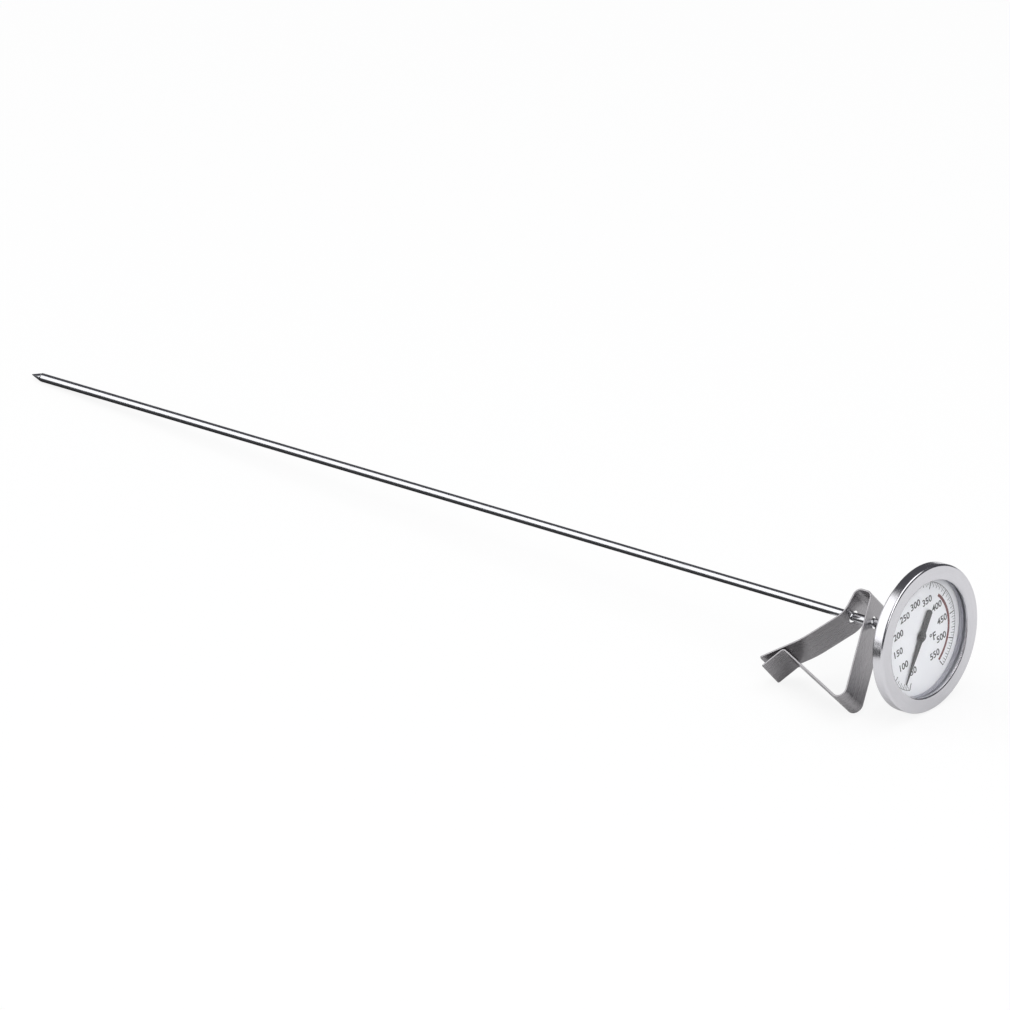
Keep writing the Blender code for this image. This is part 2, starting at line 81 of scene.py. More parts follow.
class Axes:
    """The instrument's directions and origin, read from the frame's joints and mounts."""

    def __init__(self) -> None:
        """Reads the stem axis and the bezel's front plane."""
        joint = next(j for j in frame["joints"] if j["name"] == "calibration_turn")
        mounts = {mount["name"]: mount for mount in frame["record"]["mounts"]}
        self.along = Vector(joint["axis"]).normalized()
        self.three = Vector((0.0, 1.0, 0.0))
        self.twelve = self.along.cross(self.three)
        on_axis = Vector(joint["pos_m"])
        front = Vector(mounts["bezel_front"]["pos_m"])
        self.origin = on_axis + self.along * (front - on_axis).dot(self.along)
        self.jaw = Vector(mounts["clip_jaw"]["pos_m"])

    def matrix(self) -> Matrix:
        """Turns instrument coordinates into the row frame."""
        turn = Matrix((self.along, self.three, self.twelve)).transposed()
        return Matrix.Translation(self.origin) @ turn.to_4x4()

    def clip_matrix(self, place: float) -> Matrix:
        """Turns the clip's own coordinates into the row frame.

        Args:
            place: how far behind the bezel's front plane the upper leg's hole is.

        Returns:
            The matrix for a clip whose legs reach along its own -Z.
        """
        away = self.jaw - self.origin
        away -= self.along * away.dot(self.along)
        legs = away.normalized()
        across = self.along.cross(-legs).normalized()
        turn = Matrix((self.along, -across, -legs)).transposed()
        return Matrix.Translation(self.origin - self.along * place) @ turn.to_4x4()


AXES = Axes()


# ----------------------------------------
# Mesh helpers
# ----------------------------------------


@dataclass(frozen=True)
class Corner:
    """A corner of a turned outline: depth behind the front plane, radius and fillet, in millimetres."""

    depth: float
    radius: float
    fillet: float = 0.0


def filleted(corners: Sequence[Corner], steps: int = 4) -> list[Point2]:
    """Rounds the corners of a closed outline.

    Args:
        corners: the outline's corners in order.
        steps: segments in each fillet.

    Returns:
        Points as (depth, radius) in metres.
    """
    points: list[Point2] = []
    count = len(corners)
    for index, corner in enumerate(corners):
        here = Vector((corner.depth, corner.radius)) * MM
        if corner.fillet <= 0.0:
            points.append((here.x, here.y))
            continue
        before = corners[index - 1]
        after = corners[(index + 1) % count]
        back = (Vector((before.depth, before.radius)) * MM - here).normalized()
        on = (Vector((after.depth, after.radius)) * MM - here).normalized()
        half = back.angle(on) / 2
        radius = corner.fillet * MM
        centre = here + (back + on).normalized() * radius / math.sin(half)
        start = here + back * radius / math.tan(half) - centre
        turn = math.pi - 2 * half
        sweep = turn if back.cross(on) < 0 else -turn
        for step in range(steps + 1):
            point = centre + Matrix.Rotation(sweep * step / steps, 2) @ start
            points.append((point.x, point.y))
    return points


def lathe(outline: Sequence[Point2], sides: int) -> bmesh.types.BMesh:
    """Turns a closed outline about the stem axis.

    Args:
        outline: (depth, radius) points in metres; points on the axis are allowed.
        sides: facets round the axis.

    Returns:
        The closed solid in instrument coordinates.
    """
    bm = bmesh.new()
    rings: list[list[bmesh.types.BMVert]] = []
    for depth, radius in outline:
        if radius < 1e-7:
            rings.append([bm.verts.new((-depth, 0.0, 0.0))])
            continue
        ring = []
        for side in range(sides):
            angle = math.tau * side / sides
            ring.append(bm.verts.new((-depth, radius * math.sin(angle), radius * math.cos(angle))))
        rings.append(ring)
    for ring, after in zip(rings, rings[1:] + rings[:1]):
        join_rings(bm, ring, after)
    bmesh.ops.recalc_face_normals(bm, faces=bm.faces)
    return bm


def join_rings(bm: bmesh.types.BMesh, ring: list, after: list) -> None:
    """Fills the band between two rings, where a ring of one vertex is a point on the axis."""
    if len(ring) == 1 and len(after) == 1:
        return
    count = max(len(ring), len(after))
    for side in range(count):
        nxt = (side + 1) % count
        if len(ring) == 1:
            bm.faces.new((ring[0], after[nxt], after[side]))
        elif len(after) == 1:
            bm.faces.new((ring[side], ring[nxt], after[0]))
        else:
            bm.faces.new((ring[side], ring[nxt], after[nxt], after[side]))


def flat_piece(outlines: Sequence[Sequence[Point2]], front: float, thickness: float) -> bmesh.types.BMesh:
    """A flat piece on the dial, cut from closed outlines.

    Args:
        outlines: outlines of (three o'clock, twelve o'clock) points; the first is the outside.
        front: depth of its front face behind the bezel's front plane.
        thickness: how thick it is.

    Returns:
        The closed solid.
    """
    bm = bmesh.new()
    edges = []
    for outline in outlines:
        ring = [bm.verts.new((-front - thickness, across, up)) for across, up in outline]
        edges += [bm.edges.new(pair) for pair in zip(ring, ring[1:] + ring[:1])]
    bmesh.ops.triangle_fill(bm, edges=edges, use_beauty=True, use_dissolve=False)
    thicken(bm, thickness)
    return bm


def thicken(bm: bmesh.types.BMesh, thickness: float) -> None:
    """Pulls every face of a flat sheet forward along the stem axis into a closed solid."""
    grown = bmesh.ops.extrude_face_region(bm, geom=bm.faces[:])
    moved = [item for item in grown["geom"] if isinstance(item, bmesh.types.BMVert)]
    bmesh.ops.translate(bm, verts=moved, vec=(thickness, 0.0, 0.0))
    bmesh.ops.recalc_face_normals(bm, faces=bm.faces)


def as_object(name: str, bm: bmesh.types.BMesh, matrix: Matrix, sharp: float = 32.0) -> bpy.types.Object:
    """Makes a shown object from a bmesh.

    Args:
        name: the piece's name.
        bm: its mesh, which is freed.
        matrix: where it is.
        sharp: edges sharper than this many degrees stay crisp.

    Returns:
        The new object, with face-weighted normals.
    """
    mesh = bpy.data.meshes.new(name)
    bm.to_mesh(mesh)
    bm.free()
    mesh.shade_smooth()
    mesh.set_sharp_from_angle(angle=math.radians(sharp))
    piece = bpy.data.objects.new(name, mesh)
    bpy.context.scene.collection.objects.link(piece)
    piece.matrix_world = matrix
    weighted = piece.modifiers.new("even_normals", "WEIGHTED_NORMAL")
    weighted.keep_sharp = True
    return piece


def hand_over(
    piece: bpy.types.Object,
    body: str,
    material: bpy.types.Material,
    slot: str,
    stands_for: Sequence[str] = (),
) -> bpy.types.Object:
    """Dresses a new piece and lets it ride on its CAD body.

    Args:
        piece: the new piece.
        body: the body it moves with.
        material: its finish.
        slot: the record's material slot.
        stands_for: the CAD nodes it replaces.

    Returns:
        The same piece.
    """
    piece.data.materials.append(material)
    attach(piece, body)
    if stands_for:
        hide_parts(*stands_for)
    LOG.info("%s rides on %s as %s", piece.name, body, slot)
    return piece


def polar(radius: float, degrees: float) -> Point2:
    """A point on the dial, from its radius and its angle clockwise from twelve o'clock."""
    angle = math.radians(degrees)
    return radius * math.sin(angle), radius * math.cos(angle)


# ----------------------------------------
# Shader helpers and shared node groups
# ----------------------------------------


class Tree:
    """A thin wrapper over a node tree that adds nodes and links them in one call."""

    def __init__(self, tree: bpy.types.NodeTree) -> None:
        """Keeps the tree to add nodes to."""
        self.tree = tree

    def add(self, kind: str, inputs: Optional[dict] = None, **settings: object) -> bpy.types.Node:
        """Adds a node.

        Args:
            kind: the node's type name.
            inputs: what each input, by name or number, is linked to or set to.
            settings: the node's own properties.

        Returns:
            The new node.
        """
        node = self.tree.nodes.new(kind)
        for key, value in settings.items():
            setattr(node, key, value)
        for key, value in (inputs or {}).items():
            self.feed(node, key, value)
        return node

    def feed(self, node: bpy.types.Node, key: object, value: object) -> None:
        """Links a socket to an input, or sets the input's own value."""
        socket = node.inputs[key]
        if isinstance(value, bpy.types.NodeSocket):
            self.tree.links.new(value, socket)
        else:
            socket.default_value = value

    def maths(self, operation: str, *values: object) -> bpy.types.NodeSocket:
        """A Math node's result for the given sockets or numbers."""
        node = self.add("ShaderNodeMath", dict(enumerate(values)), operation=operation)
        return node.outputs[0]

    def spread(self, value: bpy.types.NodeSocket, low: Point2, high: Point2) -> bpy.types.NodeSocket:
        """Maps a value from one range to another and clamps it.

        Args:
            value: the socket to map.
            low: the input's range.
            high: the output's range.

        Returns:
            The mapped value.
        """
        limits = {0: value, 1: low[0], 2: low[1], 3: high[0], 4: high[1]}
        return self.add("ShaderNodeMapRange", limits, clamp=True).outputs[0]

    def blend(self, share: object, first: object, second: object) -> bpy.types.NodeSocket:
        """Mixes two colours."""
        node = self.add("ShaderNodeMix", data_type="RGBA")
        for key, value in ((0, share), (6, first), (7, second)):
            self.feed(node, key, value)
        return node.outputs[2]

    def noise(self, vector: object, scale: float, detail: float = 2.0) -> bpy.types.NodeSocket:
        """Smooth noise, as a value round one half."""
        inputs = {"Vector": vector, "Scale": scale, "Detail": detail}
        return self.add("ShaderNodeTexNoise", inputs).outputs[0]


class Groups:
    """The shader node groups that several finishes share, each built once."""

    def __init__(self) -> None:
        """Builds every group."""
        self.turned = self.turned_lines()
        self.straight = self.straight_lines()
        self.grain = self.metal_grain()
        self.wear = self.edge_wear()
        self.haze = self.handling_haze()
        self.specks = self.fine_specks()

    @staticmethod
    def start(name: str, inputs: dict[str, object], outputs: dict[str, str]) -> tuple:
        """Opens a new group.

        Args:
            name: the group's name.
            inputs: each input's name and its value, or None for a vector.
            outputs: each output's name and socket type.

        Returns:
            The group's tree, its helper, its input node and its output node.
        """
        tree = bpy.data.node_groups.new(name, "ShaderNodeTree")
        for key, value in inputs.items():
            kind = "NodeSocketVector" if value is None else "NodeSocketFloat"
            socket = tree.interface.new_socket(name=key, in_out="INPUT", socket_type=kind)
            if value is not None:
                socket.default_value = value
        for key, kind in outputs.items():
            tree.interface.new_socket(name=key, in_out="OUTPUT", socket_type=kind)
        helper = Tree(tree)
        return tree, helper, helper.add("NodeGroupInput"), helper.add("NodeGroupOutput")

    def turned_lines(self) -> bpy.types.NodeTree:
        """Coordinates whose first axis crosses lathe marks and whose others drift slowly round."""
        tree, t, given, made = self.start(
            "turned_lines", {"Vector": None, "Lines": 2000.0, "Drift": 2.0}, {"Vector": "NodeSocketVector"}
        )
        split = t.add("ShaderNodeSeparateXYZ", {0: given.outputs["Vector"]})
        across, up = split.outputs[1], split.outputs[2]
        square = t.maths("ADD", t.maths("MULTIPLY", across, across), t.maths("MULTIPLY", up, up))
        radius = t.maths("MAXIMUM", t.maths("SQRT", square), 1e-5)
        line = t.maths("MULTIPLY", t.maths("ADD", radius, split.outputs[0]), given.outputs["Lines"])
        sine = t.maths("MULTIPLY", t.maths("DIVIDE", across, radius), given.outputs["Drift"])
        cosine = t.maths("MULTIPLY", t.maths("DIVIDE", up, radius), given.outputs["Drift"])
        joined = t.add("ShaderNodeCombineXYZ", {0: line, 1: sine, 2: cosine})
        t.feed(made, "Vector", joined.outputs[0])
        return tree

    def straight_lines(self) -> bpy.types.NodeTree:
        """Coordinates whose second axis crosses rolling marks and whose others drift slowly along."""
        tree, t, given, made = self.start(
            "straight_lines", {"Vector": None, "Lines": 2000.0, "Drift": 20.0}, {"Vector": "NodeSocketVector"}
        )
        split = t.add("ShaderNodeSeparateXYZ", {0: given.outputs["Vector"]})
        joined = t.add(
            "ShaderNodeCombineXYZ",
            {
                0: t.maths("MULTIPLY", split.outputs[0], given.outputs["Drift"]),
                1: t.maths("MULTIPLY", split.outputs[1], given.outputs["Lines"]),
                2: t.maths("MULTIPLY", split.outputs[2], given.outputs["Drift"]),
            },
        )
        t.feed(made, "Vector", joined.outputs[0])
        return tree

    def metal_grain(self) -> bpy.types.NodeTree:
        """Fine parallel scratches: a roughness, a height and a light and dark tone."""
        tree, t, given, made = self.start(
            "metal_grain",
            {"Vector": None, "Rough Low": 0.2, "Rough High": 0.35, "Tone": 0.1},
            {"Roughness": "NodeSocketFloat", "Height": "NodeSocketFloat", "Shade": "NodeSocketFloat"},
        )
        vector = given.outputs["Vector"]
        fine = t.noise(vector, 1.0, 3.0)
        coarse = t.noise(vector, 0.23, 2.0)
        mixed = t.maths("ADD", t.maths("MULTIPLY", fine, 0.6), t.maths("MULTIPLY", coarse, 0.4))
        contrast = t.spread(mixed, (0.3, 0.7), (0.0, 1.0))
        span = t.maths("SUBTRACT", given.outputs["Rough High"], given.outputs["Rough Low"])
        rough = t.maths("ADD", t.maths("MULTIPLY", contrast, span), given.outputs["Rough Low"])
        swing = t.maths("MULTIPLY", t.maths("SUBTRACT", contrast, 0.5), given.outputs["Tone"])
        t.feed(made, "Roughness", rough)
        t.feed(made, "Height", mixed)
        t.feed(made, "Shade", t.maths("ADD", swing, 1.0))
        return tree

    def edge_wear(self) -> bpy.types.NodeTree:
        """A mask of rubbed edges, broken up by noise."""
        tree, t, given, made = self.start(
            "edge_wear", {"Vector": None, "Radius": 0.0002, "Breakup": 900.0}, {"Mask": "NodeSocketFloat"}
        )
        rounded = t.add("ShaderNodeBevel", {"Radius": given.outputs["Radius"]}, samples=4)
        flat = t.add("ShaderNodeNewGeometry")
        pair = {0: rounded.outputs[0], 1: flat.outputs["Normal"]}
        dot = t.add("ShaderNodeVectorMath", pair, operation="DOT_PRODUCT")
        edge = t.spread(dot.outputs["Value"], (0.999, 0.93), (0.0, 1.0))
        cloud = t.noise(given.outputs["Vector"], 1.0, 3.0)
        t.tree.links.new(given.outputs["Breakup"], cloud.node.inputs["Scale"])
        t.feed(made, "Mask", t.maths("MULTIPLY", edge, t.spread(cloud, (0.35, 0.6), (0.15, 1.0))))
        return tree

    def handling_haze(self) -> bpy.types.NodeTree:
        """Soft patches left by wiping and handling, as a mask."""
        tree, t, given, made = self.start(
            "handling_haze", {"Vector": None, "Patch": 90.0, "Cover": 0.5}, {"Mask": "NodeSocketFloat"}
        )
        large = t.noise(given.outputs["Vector"], 1.0, 4.0)
        t.tree.links.new(given.outputs["Patch"], large.node.inputs["Scale"])
        start = t.maths("SUBTRACT", 0.78, t.maths("MULTIPLY", given.outputs["Cover"], 0.4))
        above = t.maths("SUBTRACT", large, start)
        t.feed(made, "Mask", t.spread(above, (0.0, 0.18), (0.0, 1.0)))
        return tree

    def fine_specks(self) -> bpy.types.NodeTree:
        """Sparse tiny specks of dust or pitting, as a mask."""
        tree, t, given, made = self.start(
            "fine_specks", {"Vector": None, "Scale": 1500.0, "Size": 0.12}, {"Mask": "NodeSocketFloat"}
        )
        cells = t.add("ShaderNodeTexVoronoi", {"Vector": given.outputs["Vector"]}, feature="F1")
        t.feed(cells, "Scale", given.outputs["Scale"])
        near = t.maths("LESS_THAN", cells.outputs["Distance"], given.outputs["Size"])
        chance = t.add("ShaderNodeSeparateColor", {0: cells.outputs["Color"]}).outputs[0]
        t.feed(made, "Mask", t.maths("MULTIPLY", near, t.maths("LESS_THAN", chance, 0.12)))
        return tree


class Lay(Enum):
    """Which way a metal's marks run."""

    TURNED = "turned"
    STRAIGHT = "straight"
    NONE = "none"


class Paintbox:
    """Starts each material and holds the shared groups."""

    def __init__(self) -> None:
        """Builds the shared groups."""
        self.groups = Groups()

    def material(self, name: str) -> tuple[bpy.types.Material, Tree, bpy.types.Node, bpy.types.NodeSocket]:
        """A fresh material.

        Args:
            name: the material's name.

        Returns:
            The material, its tree helper, its Principled shader and the object coordinates.
        """
        material = bpy.data.materials.new(name)
        material.use_nodes = True
        tree = Tree(material.node_tree)
        shader = material.node_tree.nodes["Principled BSDF"]
        place = tree.add("ShaderNodeTexCoord").outputs["Object"]
        return material, tree, shader, place

    def use(self, tree: Tree, group: bpy.types.NodeTree, **inputs: object) -> bpy.types.Node:
        """Places a shared group; an underscore in an input's name stands for a space."""
        node = tree.add("ShaderNodeGroup", node_tree=group)
        for key, value in inputs.items():
            tree.feed(node, key.replace("_", " "), value)
        return node


# ----------------------------------------
# Finishes
# ----------------------------------------


@dataclass(frozen=True)
class Metal:
    """A bare metal with its tool marks, rubbed edges and handling haze."""

    name: str
    colour: Colour
    lay: Lay = Lay.TURNED
    lines: float = 2500.0
    drift: float = 3.0
    smooth: float = 0.18
    rough: float = 0.32
    tone: float = 0.12
    bump: float = 0.06
    wear: float = 0.5
    haze: float = 0.5
    patch: float = 90.0

    def make(self, box: Paintbox) -> bpy.types.Material:
        """Builds the material.

        Args:
            box: the shared groups.

        Returns:
            The finished material.
        """
        material, t, shader, place = box.material(self.name)
        groups = box.groups
        lines = place
        if self.lay is not Lay.NONE:
            lay = groups.turned if self.lay is Lay.TURNED else groups.straight
            lines = box.use(t, lay, Vector=place, Lines=self.lines, Drift=self.drift).outputs[0]
        else:
            scaled = t.add("ShaderNodeVectorMath", {0: place, "Scale": self.lines}, operation="SCALE")
            lines = scaled.outputs[0]
        span = {"Rough_Low": self.smooth, "Rough_High": self.rough}
        grain = box.use(t, groups.grain, Vector=lines, Tone=self.tone, **span)
        wear = box.use(t, groups.wear, Vector=place)
        haze = box.use(t, groups.haze, Vector=place, Patch=self.patch, Cover=self.haze)
        specks = box.use(t, groups.specks, Vector=place)

        base = (*self.colour, 1.0)
        bright = tuple(min(1.0, channel * 1.22 + 0.04) for channel in self.colour)
        dull = tuple(channel * 0.88 for channel in self.colour)
        pitted = (*[channel * 0.45 for channel in dull], 1.0)
        hazed = t.blend(t.maths("MULTIPLY", haze.outputs[0], 0.5), base, (*dull, 1.0))
        worn = t.blend(t.maths("MULTIPLY", wear.outputs[0], self.wear), hazed, (*bright, 1.0))
        specked = t.blend(t.maths("MULTIPLY", specks.outputs[0], 0.35), worn, pitted)
        shade = t.add("ShaderNodeCombineColor", {i: grain.outputs["Shade"] for i in range(3)}).outputs[0]
        toned = t.add("ShaderNodeMix", data_type="RGBA", blend_type="MULTIPLY")
        for key, value in ((0, 1.0), (6, specked), (7, shade)):
            t.feed(toned, key, value)
        t.feed(shader, "Base Color", toned.outputs[2])
        rough = t.maths("ADD", grain.outputs["Roughness"], t.maths("MULTIPLY", haze.outputs[0], 0.07))
        t.feed(shader, "Roughness", rough)
        shader.inputs["Metallic"].default_value = 1.0
        relief = {"Strength": self.bump, "Distance": 2e-5, "Height": grain.outputs["Height"]}
        bump = t.add("ShaderNodeBump", relief)
        t.feed(shader, "Normal", bump.outputs[0])
        return material


@dataclass(frozen=True)
class Coat:
    """Paint, enamel, lacquer, printing ink or rubber: mottled colour with a fine surface texture."""

    name: str
    colour: Colour
    other: Colour
    mottle: float = 700.0
    roughness: float = 0.4
    grip: float = 0.06
    pore: float = 2500.0
    bump: float = 0.05
    gloss: float = 0.5
    specks: float = 0.3
    speck_colour: Colour = (0.25, 0.24, 0.22)

    def make(self, box: Paintbox) -> bpy.types.Material:
        """Builds the material.

        Args:
            box: the shared groups.

        Returns:
            The finished material.
        """
        material, t, shader, place = box.material(self.name)
        cloud = t.noise(place, self.mottle, 3.0)
        colour = t.blend(t.spread(cloud, (0.3, 0.7), (0.0, 1.0)), (*self.colour, 1.0), (*self.other, 1.0))
        specks = box.use(t, box.groups.specks, Vector=place, Scale=1100.0, Size=0.1)
        share = t.maths("MULTIPLY", specks.outputs[0], self.specks)
        t.feed(shader, "Base Color", t.blend(share, colour, (*self.speck_colour, 1.0)))
        haze = box.use(t, box.groups.haze, Vector=place, Patch=120.0, Cover=0.5)
        pores = t.noise(place, self.pore, 3.0)
        swing = t.maths("MULTIPLY", t.maths("SUBTRACT", pores, 0.5), self.grip * 2)
        grease = t.maths("MULTIPLY", haze.outputs[0], self.grip)
        rough = t.maths("ADD", self.roughness, t.maths("ADD", swing, grease))
        t.feed(shader, "Roughness", rough)
        shader.inputs["Specular IOR Level"].default_value = self.gloss
        bump = t.add("ShaderNodeBump", {"Strength": self.bump, "Distance": 5e-5, "Height": pores})
        t.feed(shader, "Normal", bump.outputs[0])
        return material


@dataclass(frozen=True)
class WindowGlass:
    """Clear flat glass with the faintest wiping marks."""

    name: str = "window_glass"
    tint: Colour = (0.99, 0.992, 0.998)
    index: float = 1.34

    def make(self, box: Paintbox) -> bpy.types.Material:
        """Builds the material.

        Args:
            box: the shared groups.

        Returns:
            The finished material.
        """
        material, t, shader, place = box.material(self.name)
        haze = box.use(t, box.groups.haze, Vector=place, Patch=70.0, Cover=0.45)
        t.feed(shader, "Roughness", t.spread(haze.outputs[0], (0.0, 1.0), (0.012, 0.035)))
        shader.inputs["Base Color"].default_value = (*self.tint, 1.0)
        shader.inputs["Transmission Weight"].default_value = 1.0
        shader.inputs["IOR"].default_value = self.index
        return material


STEELS = {
    "bezel": Metal("bezel_steel", (0.64, 0.635, 0.66), lines=5200.0, drift=5.0, smooth=0.13, rough=0.24),
    "case": Metal("case_steel", (0.6, 0.6, 0.62), lines=1500.0, drift=8.0, smooth=0.26, rough=0.42),
    "stem": Metal(
        "stem_steel", (0.64, 0.645, 0.665),
        lines=2600.0, drift=1.2, smooth=0.12, rough=0.24, tone=0.08, bump=0.04,
    ),
    "nut": Metal("nut_steel", (0.58, 0.58, 0.6), lines=1200.0, drift=6.0, smooth=0.22, rough=0.4),
    # painted shade: this steel's base colour is about half the stem's, so the clip and the friction washer render
    # darker than the same stainless steel elsewhere
    "spring": Metal(
        "spring_steel", (0.36, 0.35, 0.36), Lay.STRAIGHT,
        lines=2600.0, drift=45.0, smooth=0.22, rough=0.36, tone=0.2,
    ),
    "shaft": Metal("shaft_steel", (0.5, 0.5, 0.52), Lay.NONE, lines=1500.0),
}
OTHER_METALS = {
    "bimetal": Metal("bimetal_strip", (0.55, 0.45, 0.34), Lay.NONE, lines=900.0),
    "brass": Metal("turned_brass", (0.72, 0.58, 0.3), lines=2500.0),
}
COATS = {
    "spacer": Coat("spacer_plastic", (0.35, 0.35, 0.39), (0.32, 0.32, 0.365), mottle=300.0, roughness=0.42),
    "enamel": Coat("dial_enamel", (0.9, 0.905, 0.925), (0.87, 0.88, 0.905), mottle=160.0, roughness=0.42),
    "ink": Coat("printing_ink", (0.035, 0.032, 0.034), (0.06, 0.055, 0.055), roughness=0.55, specks=0.0),
    "red_ink": Coat("red_ink", (0.13, 0.025, 0.026), (0.17, 0.038, 0.036), roughness=0.55, specks=0.0),
    "lacquer": Coat("pointer_lacquer", (0.018, 0.018, 0.02), (0.035, 0.034, 0.035), roughness=0.38),
    "rubber": Coat("seal_rubber", (0.035, 0.035, 0.036), (0.06, 0.06, 0.06), roughness=0.72, bump=0.25),
    "silicone": Coat("seal_silicone", (0.27, 0.28, 0.305), (0.31, 0.32, 0.345), roughness=0.5, bump=0.1),
}
GLASS = {"glass": WindowGlass()}


class Finishes:
    """Every finish on the instrument, made once and kept under its name in the tables above."""

    def __init__(self, box: Paintbox) -> None:
        """Makes the materials."""
        for table in (STEELS, OTHER_METALS, COATS, GLASS):
            for name, finish in table.items():
                setattr(self, name, finish.make(box))


# ----------------------------------------
# Head
# ----------------------------------------


@dataclass
class Head:
    """Bezel, window, spacer ring, dial and case back. Sizes are in millimetres."""

    finishes: Finishes
    sides: int = 192
    bezel_radius: float = 25.85
    window_radius: float = 20.5
    bezel_depth: float = 4.2
    sheet: float = 0.6
    lens_front: float = 1.6
    lens_back: float = 2.7
    lens_radius: float = 24.9
    gap: float = 0.3
    spacer_front: float = 3.0
    spacer_back: float = 4.6
    spacer_inner: float = 20.8
    dial_front: float = 4.9
    dial_back: float = 5.3
    dial_radius: float = 22.9
    dial_hole: float = 1.2
    case_wall: float = 0.5
    case_back_radius: float = 19.0
    case_depth: float = 7.5
    case_bore: float = 3.4
    case_radius: float = 23.7
    flange_radius: float = 24.95
    flange: float = 0.5
    ledge_depth: float = 5.6
    ledge_width: float = 2.4
    lip: float = 0.5
    curl: float = 0.45
    seal_front: float = 0.9
    seal_back: float = 1.3
    bead_front: float = 0.99
    bead_back: float = 1.57
    bead_inset: float = 0.2
    bead_width: float = 0.7

    def build(self) -> None:
        """Builds and dresses every piece of the head."""
        self.bezel()
        self.window()
        self.seal()
        self.spacer_ring()
        self.dial()
        self.back()

    def turned_piece(
        self, name: str, corners: Sequence[Corner], material: bpy.types.Material, slot: str, node: str
    ) -> bpy.types.Object:
        """Turns an outline and hands the piece over in place of its CAD node.

        Args:
            name: the piece's name.
            corners: its outline.
            material: its finish.
            slot: the record's material slot.
            node: the CAD node it stands for.

        Returns:
            The new piece.
        """
        piece = as_object(name, lathe(filleted(corners), self.sides), AXES.matrix())
        return hand_over(piece, "head", material, slot, [node])

    def bezel(self) -> None:
        """The crimped ring, with a soft outer edge, a rolled lip at the window and a curl behind."""
        inner = self.bezel_radius - self.sheet
        corners = [
            Corner(0.96, self.window_radius, 0.1),
            Corner(0.22, self.window_radius, 0.18),
            Corner(0.0, self.window_radius + self.lip, 0.3),
            Corner(0.0, self.bezel_radius, 0.8),
            Corner(self.bezel_depth, self.bezel_radius, 0.32),
            Corner(self.bezel_depth, inner - self.sheet, 0.12),
            Corner(self.bezel_depth - self.curl, inner - self.sheet, 0.1),
            Corner(self.bezel_depth - self.curl, inner, 0.1),
            Corner(self.sheet, inner, 0.15),
            Corner(self.sheet, self.window_radius + 0.6, 0.1),
        ]
        self.turned_piece("bezel", corners, self.finishes.bezel, "bezel_steel", "bezel_ring")

    def window(self) -> None:
        """The flat window, with ground edges; lamps shine through it."""
        corners = [
            Corner(self.lens_front, 0.0),
            Corner(self.lens_front, self.lens_radius, 0.12),
            Corner(self.lens_back, self.lens_radius, 0.12),
            Corner(self.lens_back, 0.0),
        ]
        window = self.turned_piece("window", corners, self.finishes.glass, "window_glass", "lens")
        window.visible_shadow = False

    def seal(self) -> None:
        """The silicone seal between bezel and window, with a bead that shows under the lip."""
        bead = self.window_radius + self.bead_inset
        corners = [
            Corner(self.bead_front, bead, 0.2),
            Corner(self.bead_back, bead, 0.2),
            Corner(self.bead_back, bead + self.bead_width, 0.1),
            Corner(self.seal_back, bead + self.bead_width),
            Corner(self.seal_back, self.lens_radius, 0.1),
            Corner(self.seal_front, self.lens_radius, 0.1),
            Corner(self.seal_front, bead + self.bead_width - 0.1),
            Corner(self.bead_front, bead + self.bead_width - 0.2),
        ]
        self.turned_piece("window_seal", corners, self.finishes.silicone, "seal_silicone", "lens_gasket")

    def spacer_ring(self) -> None:
        """The ring between window and dial, the grey wall of the recess."""
        corners = [
            Corner(self.spacer_front, self.spacer_inner, 0.15),
            Corner(self.spacer_front, self.dial_radius, 0.1),
            Corner(self.spacer_back, self.dial_radius, 0.1),
            Corner(self.spacer_back, self.spacer_inner, 0.1),
        ]
        self.turned_piece("recess_ring", corners, self.finishes.spacer, "spacer_plastic", "dial_spacer_ring")

    def dial(self) -> None:
        """The enamelled plate."""
        corners = [
            Corner(self.dial_front, self.dial_hole, 0.05),
            Corner(self.dial_front, self.dial_radius, 0.06),
            Corner(self.dial_back, self.dial_radius, 0.06),
            Corner(self.dial_back, self.dial_hole, 0.05),
        ]
        self.turned_piece("dial", corners, self.finishes.enamel, "dial_print", "dial_plate")

    def back(self) -> None:
        """The pressed dish, with drawn corners and a flat back."""
        outer = self.case_radius
        inner = outer - self.case_wall
        ledge = self.ledge_depth
        step = inner - self.ledge_width
        front = self.lens_back + self.gap
        corners = [
            Corner(front, self.flange_radius, 0.1),
            Corner(front + self.flange, self.flange_radius, 0.1),
            Corner(front + self.flange, outer, 0.3),
            Corner(ledge + self.case_wall, outer, 0.45),
            Corner(ledge + self.case_wall, step, 0.5),
            Corner(self.case_depth, self.case_back_radius, 0.9),
            Corner(self.case_depth, self.case_bore, 0.1),
            Corner(self.case_depth - self.case_wall, self.case_bore, 0.1),
            Corner(self.case_depth - self.case_wall, self.case_back_radius, 0.5),
            Corner(ledge, step, 0.3),
            Corner(ledge, inner, 0.2),
            Corner(front, inner, 0.1),
        ]
        self.turned_piece("case_shell", corners, self.finishes.case, "case_steel", "case_back")


# ----------------------------------------
# Dial printing
# ----------------------------------------


class Stroke(Enum):
    """The strokes of the scale: how many degrees apart, and their length and width in millimetres."""

    LONG = (50, 2.5, 0.34)
    MIDDLE = (10, 1.7, 0.2)
    SHORT = (5, 1.1, 0.13)

    def __init__(self, every: int, length: float, width: float) -> None:
        """Names the three numbers."""
        self.every = every
        self.length = length
        self.width = width


